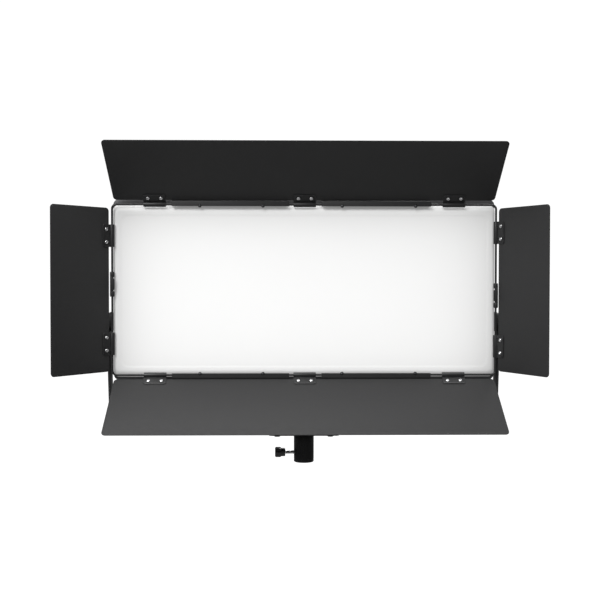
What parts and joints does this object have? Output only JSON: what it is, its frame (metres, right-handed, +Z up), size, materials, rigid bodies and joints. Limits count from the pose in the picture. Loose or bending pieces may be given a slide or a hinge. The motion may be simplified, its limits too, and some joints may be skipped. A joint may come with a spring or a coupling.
{
  "type": "led panel light",
  "caption": "Wide soft LED panel light on a U yoke, with folding barn-door leaves, tilt locks and a stand receiver.",
  "frame": {"origin": "centre of the mouth of the receiver's stud bore, at the foot of the lamp", "axes": "+Z up along the stud bore, light shines along -Y, +X to the right of a viewer facing the light"},
  "size_m": [0.7637, 0.2254, 0.5155],
  "materials": {
    "black_steel": "fine black powder coat on steel bar",
    "black_cast": "satin black coat on a turned receiver",
    "plated_steel": "bright zinc plating",
    "dark_steel": "black oxide",
    "brass": "turned brass",
    "gold_contact": "plated contact",
    "knob_plastic": "moulded black plastic",
    "housing_paint": "fine textured black powder coat on folded sheet",
    "black_aluminium": "black anodised extrusion",
    "opal": "opal acrylic, satin",
    "white_reflector": "matt white reflector",
    "board_white": "white solder mask on an aluminium board",
    "phosphor": "phosphor-coated package",
    "friction": "friction disc",
    "wire_black": "black coated spring wire",
    "leaf_black": "fine textured black powder coat",
    "clip_black": "black coated rolled clip",
    "psu_metal": "bare folded case",
    "board_green": "circuit board with parts",
    "screen": "dark display window",
    "display": "liquid-crystal module",
    "box_plastic": "moulded black box",
    "fascia": "printed overlay",
    "button_grey": "moulded button",
    "cable_red": "insulated wire"
  },
  "bodies": {
    "yoke": {"yoke": "black_steel", "yoke_base_plate": "black_steel", "receiver": "black_cast", "receiver_bolts": "dark_steel"},
    "lock_pad": {"receiver_lock_pad": "brass"},
    "lock_screw": {"receiver_lock_stem": "plated_steel", "receiver_lock_knob": "knob_plastic"},
    "washer_left": {"clamp_washer_left": "plated_steel"},
    "washer_right": {"clamp_washer_right": "plated_steel"},
    "tilt_lock_left": {"tilt_bolt_left": "plated_steel", "tilt_knob_left": "knob_plastic"},
    "tilt_lock_right": {"tilt_bolt_right": "plated_steel", "tilt_knob_right": "knob_plastic"},
    "lamp_head": {"housing_shell": "housing_paint", "front_frame": "housing_paint", "diffuser": "opal", "reflector_frame": "white_reflector", "led_board": "board_white", "led_emitters": "phosphor", "heat_sink": "black_aluminium", "pivot_bosses": "black_steel", "friction_washers": "friction", "barndoor_wire": "wire_black", "accessory_rails": "housing_paint", "rail_rivets": "dark_steel", "catch_keepers": "plated_steel", "control_box": "box_plastic", "control_fascia": "fascia", "power_supply": "psu_metal", "driver_board": "board_green", "control_board": "board_green", "display_module": "display", "display_window": "screen", "encoder_bodies": "plated_steel", "rocker_bezel": "knob_plastic", "power_inlet": "knob_plastic", "dmx_sockets": "clip_black", "connector_pins": "gold_contact", "led_cable": "cable_red", "housing_screws": "dark_steel"},
    "top_door": {"top_leaf": "leaf_black", "top_hinge_clips": "clip_black", "top_hinge_screws": "plated_steel"},
    "bottom_door": {"bottom_leaf": "leaf_black", "bottom_hinge_clips": "clip_black", "bottom_hinge_screws": "plated_steel"},
    "left_door": {"left_leaf": "leaf_black", "left_hinge_clips": "clip_black", "left_hinge_screws": "plated_steel"},
    "right_door": {"right_leaf": "leaf_black", "right_hinge_clips": "clip_black", "right_hinge_screws": "plated_steel"},
    "left_catch": {"catch_left": "clip_black"},
    "right_catch": {"catch_right": "clip_black"},
    "dimmer": {"dimmer_knob": "knob_plastic"},
    "colour": {"colour_knob": "knob_plastic"},
    "mode_key": {"mode_button": "button_grey"},
    "menu_key": {"menu_button": "button_grey"},
    "rocker": {"power_rocker": "knob_plastic"}
  },
  "joints": [
    {"name": "tilt", "type": "hinge", "parent": "yoke", "child": "lamp_head", "pos_m": [0, 0, 0.232], "axis": [-1, 0, 0], "range_deg": [-22, 90]},
    {"name": "top_door_hinge", "type": "hinge", "parent": "lamp_head", "child": "top_door", "pos_m": [0, -0.048, 0.42175], "axis": [-1, 0, 0], "range_deg": [-123, 52]},
    {"name": "bottom_door_hinge", "type": "hinge", "parent": "lamp_head", "child": "bottom_door", "pos_m": [0, -0.048, 0.14825], "axis": [1, 0, 0], "range_deg": [-117, 58]},
    {"name": "left_door_hinge", "type": "hinge", "parent": "lamp_head", "child": "left_door", "pos_m": [-0.3083, -0.048, 0.285], "axis": [0, 0, -1], "range_deg": [-135, 55]},
    {"name": "right_door_hinge", "type": "hinge", "parent": "lamp_head", "child": "right_door", "pos_m": [0.3083, -0.048, 0.285], "axis": [0, 0, 1], "range_deg": [-123, 67]},
    {"name": "left_catch_hinge", "type": "hinge", "parent": "lamp_head", "child": "left_catch", "pos_m": [-0.3083, -0.048, 0.294], "axis": [0, 0, -1], "range_deg": [-50, 0]},
    {"name": "right_catch_hinge", "type": "hinge", "parent": "lamp_head", "child": "right_catch", "pos_m": [0.3083, -0.048, 0.276], "axis": [0, 0, 1], "range_deg": [-50, 0]},
    {"name": "washer_left_travel", "type": "slide", "parent": "lamp_head", "child": "washer_left", "axis": [-1, 0, 0], "range_m": [0, 0.00125]},
    {"name": "tilt_lock_left_turn", "type": "hinge", "parent": "washer_left", "child": "tilt_lock_left", "pos_m": [-0.33, 0, 0.232], "axis": [-1, 0, 0], "range_deg": [0, 360]},
    {"name": "washer_right_travel", "type": "slide", "parent": "lamp_head", "child": "washer_right", "axis": [1, 0, 0], "range_m": [0, 0.00125]},
    {"name": "tilt_lock_right_turn", "type": "hinge", "parent": "washer_right", "child": "tilt_lock_right", "pos_m": [0.33, 0, 0.232], "axis": [1, 0, 0], "range_deg": [0, 360]},
    {"name": "lock_pad_travel", "type": "slide", "parent": "yoke", "child": "lock_pad", "axis": [-1, 0, 0], "range_m": [-0.002, 0.002]},
    {"name": "lock_screw_turn", "type": "hinge", "parent": "lock_pad", "child": "lock_screw", "pos_m": [-0.03, 0, 0.0158], "axis": [-1, 0, 0], "range_deg": [-720, 720]},
    {"name": "dimmer_turn", "type": "hinge", "parent": "lamp_head", "child": "dimmer", "pos_m": [0.022, 0.063, 0.345], "axis": [0, 1, 0], "continuous": true},
    {"name": "colour_turn", "type": "hinge", "parent": "lamp_head", "child": "colour", "pos_m": [0.066, 0.063, 0.345], "axis": [0, 1, 0], "continuous": true},
    {"name": "mode_press", "type": "slide", "parent": "lamp_head", "child": "mode_key", "axis": [0, -1, 0], "range_m": [0, 0.0012]},
    {"name": "menu_press", "type": "slide", "parent": "lamp_head", "child": "menu_key", "axis": [0, -1, 0], "range_m": [0, 0.0012]},
    {"name": "rocker_switch", "type": "hinge", "parent": "lamp_head", "child": "rocker", "pos_m": [-0.024, 0.062, 0.223], "axis": [-1, 0, 0], "range_deg": [0, 22]}
  ],
  "couplings": [
    {"joint": "tilt_lock_left_turn", "follows": "washer_left_travel", "rad_per_m": 5026.5},
    {"joint": "tilt_lock_right_turn", "follows": "washer_right_travel", "rad_per_m": 5026.5},
    {"joint": "lock_pad_travel", "follows": "lock_screw_turn", "m_per_rad": 0.00015915}
  ]
}
